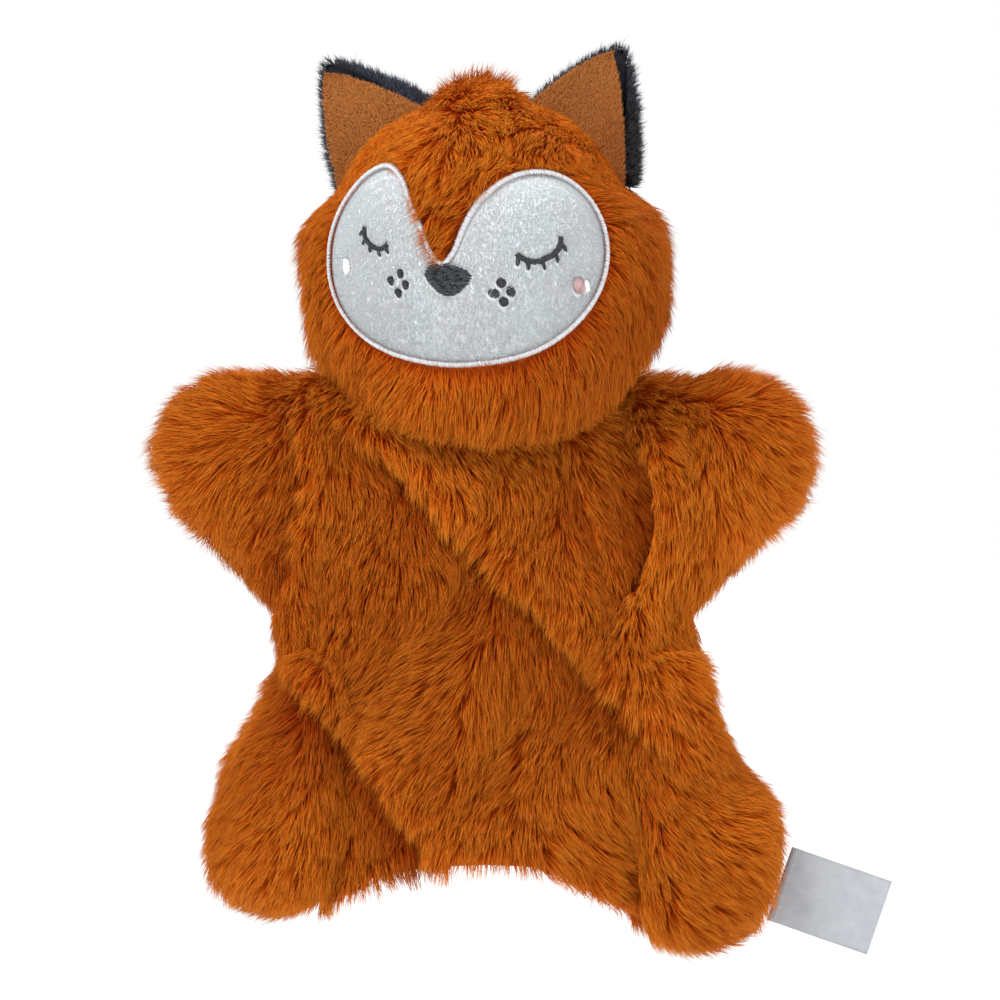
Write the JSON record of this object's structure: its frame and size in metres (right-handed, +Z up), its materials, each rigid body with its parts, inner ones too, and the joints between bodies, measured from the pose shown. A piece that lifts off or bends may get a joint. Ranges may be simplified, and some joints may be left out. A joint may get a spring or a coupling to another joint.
{
  "type": "hand puppet",
  "caption": "Plush fox hand puppet with stuffed head, embroidered sleeping face, two finger arms, two short legs and a side label.",
  "frame": {"origin": "middle of the hand opening, at the middle of the hem", "axes": "+Z up along the hand to the head, -Y the way the face looks, +X to the viewer's right when facing the face"},
  "size_m": [0.2211, 0.0915, 0.2741],
  "materials": {
    "plush_orange": "long-pile plush",
    "plush_pale": "short-pile plush",
    "satin_white": "satin stitch",
    "satin_pink": "satin stitch",
    "thread_black": "embroidery thread",
    "thread_charcoal": "embroidery thread",
    "plush_tan": "short-pile plush",
    "plush_black": "long-pile plush",
    "lining_cloth": "woven lining",
    "stuffing": "polyester fibre",
    "label_ribbon": "woven satin ribbon"
  },
  "bodies": {
    "body": {"body_front_fur": "plush_orange", "body_back_fur": "plush_orange", "hem_facing_front": "plush_orange", "hem_facing_back": "plush_orange", "body_lining_front": "lining_cloth", "body_lining_back": "lining_cloth"},
    "neck_collar": {"neck_collar": "lining_cloth"},
    "neck_tube": {"neck_tube": "lining_cloth"},
    "head": {"head_front_fur": "plush_orange", "head_back_fur": "plush_orange", "head_filling": "stuffing", "head_finger_pocket": "lining_cloth", "head_seam_ring": "lining_cloth", "face_applique": "plush_pale", "face_border": "satin_white", "nose": "thread_charcoal", "left_eye": "thread_black", "right_eye": "thread_black", "left_freckle_1": "thread_black", "left_freckle_2": "thread_black", "left_freckle_3": "thread_black", "left_freckle_4": "thread_black", "right_freckle_1": "thread_black", "right_freckle_2": "thread_black", "right_freckle_3": "thread_black", "right_freckle_4": "thread_black", "left_cheek_spot": "satin_white", "right_cheek_spot": "satin_pink"},
    "left_ear": {"left_ear_front": "plush_tan", "left_ear_back": "plush_black"},
    "left_sleeve": {"left_sleeve_front_fur": "plush_orange", "left_sleeve_back_fur": "plush_orange"},
    "left_arm": {"left_arm_front_fur": "plush_orange", "left_arm_back_fur": "plush_orange"},
    "left_leg": {"left_leg_front_fur": "plush_orange", "left_leg_back_fur": "plush_orange", "left_leg_filling": "stuffing"},
    "right_ear": {"right_ear_front": "plush_tan", "right_ear_back": "plush_black"},
    "right_sleeve": {"right_sleeve_front_fur": "plush_orange", "right_sleeve_back_fur": "plush_orange"},
    "right_arm": {"right_arm_front_fur": "plush_orange", "right_arm_back_fur": "plush_orange"},
    "right_leg": {"right_leg_front_fur": "plush_orange", "right_leg_back_fur": "plush_orange", "right_leg_filling": "stuffing"},
    "side_label": {"side_label": "label_ribbon"}
  },
  "joints": [
    {"name": "head_turn", "type": "hinge", "parent": "body", "child": "neck_collar", "pos_m": [0, 0, 0.153], "axis": [0, 0, 1], "range_deg": [-12, 12]},
    {"name": "head_tilt", "type": "hinge", "parent": "neck_collar", "child": "neck_tube", "pos_m": [0, 0, 0.153], "axis": [0, 1, 0], "range_deg": [-7, 7]},
    {"name": "head_nod", "type": "hinge", "parent": "neck_tube", "child": "head", "pos_m": [0, 0, 0.153], "axis": [1, 0, 0], "range_deg": [-10, 8]},
    {"name": "left_arm_raise", "type": "hinge", "parent": "body", "child": "left_sleeve", "pos_m": [-0.052, 0, 0.118], "axis": [0, 1, 0], "range_deg": [-12, 20]},
    {"name": "left_arm_hug", "type": "hinge", "parent": "left_sleeve", "child": "left_arm", "pos_m": [-0.066, 0, 0.1215], "axis": [0, 0, 1], "range_deg": [-12, 35]},
    {"name": "left_leg_flap", "type": "hinge", "parent": "body", "child": "left_leg", "pos_m": [-0.0523, 0, 0.025], "axis": [-0.1571, 0, 0.9876], "range_deg": [-18, 18], "stiffness_Nm_per_rad": 0.02},
    {"name": "left_ear_fold", "type": "hinge", "parent": "head", "child": "left_ear", "pos_m": [-0.0345, -0.008, 0.2215], "axis": [0.7348, 0, 0.6783], "range_deg": [-14, 14], "stiffness_Nm_per_rad": 0.004},
    {"name": "right_arm_raise", "type": "hinge", "parent": "body", "child": "right_sleeve", "pos_m": [0.052, 0, 0.118], "axis": [0, -1, 0], "range_deg": [-12, 20]},
    {"name": "right_arm_hug", "type": "hinge", "parent": "right_sleeve", "child": "right_arm", "pos_m": [0.066, 0, 0.1215], "axis": [0, 0, -1], "range_deg": [-12, 35]},
    {"name": "right_leg_flap", "type": "hinge", "parent": "body", "child": "right_leg", "pos_m": [0.0523, 0, 0.025], "axis": [-0.1571, 0, -0.9876], "range_deg": [-18, 18], "stiffness_Nm_per_rad": 0.02},
    {"name": "right_ear_fold", "type": "hinge", "parent": "head", "child": "right_ear", "pos_m": [0.03225, -0.008, 0.225], "axis": [0.7782, 0, -0.628], "range_deg": [-14, 14], "stiffness_Nm_per_rad": 0.004},
    {"name": "label_flap", "type": "hinge", "parent": "right_leg", "child": "side_label", "pos_m": [0.09071, 0, -0.00521], "axis": [-0.3287, 0, -0.9444], "range_deg": [-35, 35], "stiffness_Nm_per_rad": 0.0008}
  ]
}
